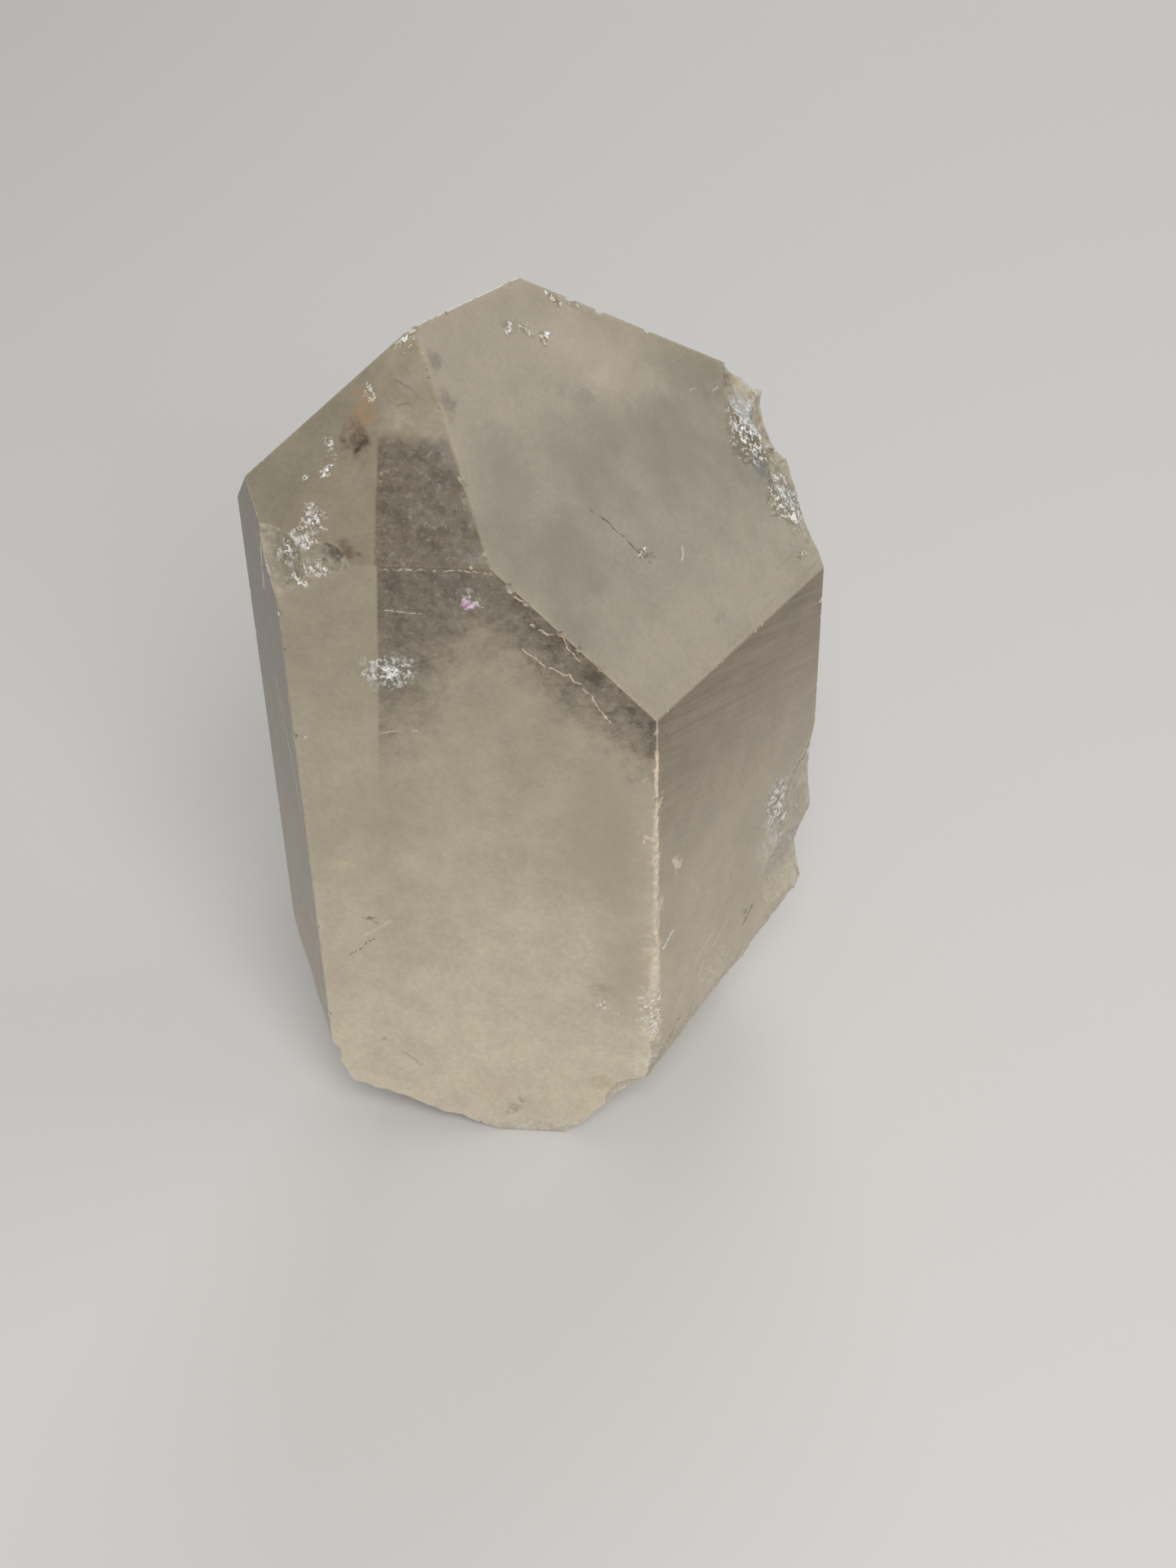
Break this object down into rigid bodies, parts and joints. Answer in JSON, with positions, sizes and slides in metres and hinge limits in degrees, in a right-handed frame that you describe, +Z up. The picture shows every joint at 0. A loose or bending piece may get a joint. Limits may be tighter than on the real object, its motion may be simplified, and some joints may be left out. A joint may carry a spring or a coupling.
{
  "type": "quartz crystal",
  "caption": "Single natural quartz crystal point: a six-sided prism with a slanting faceted cap, chipped shoulders and a broken foot that it stands on.",
  "frame": {"origin": "under the middle of the crystal, on the surface that it stands on", "axes": "+Z up along the crystal's long axis, -Y out of the wide front prism face, +X to the right of that face"},
  "size_m": [0.055, 0.0394, 0.09],
  "materials": {
    "quartz": "milky translucent quartz, glassy grown faces, frosted broken foot"
  },
  "bodies": {
    "root": {"quartz_crystal": "quartz"}
  },
  "joints": []
}
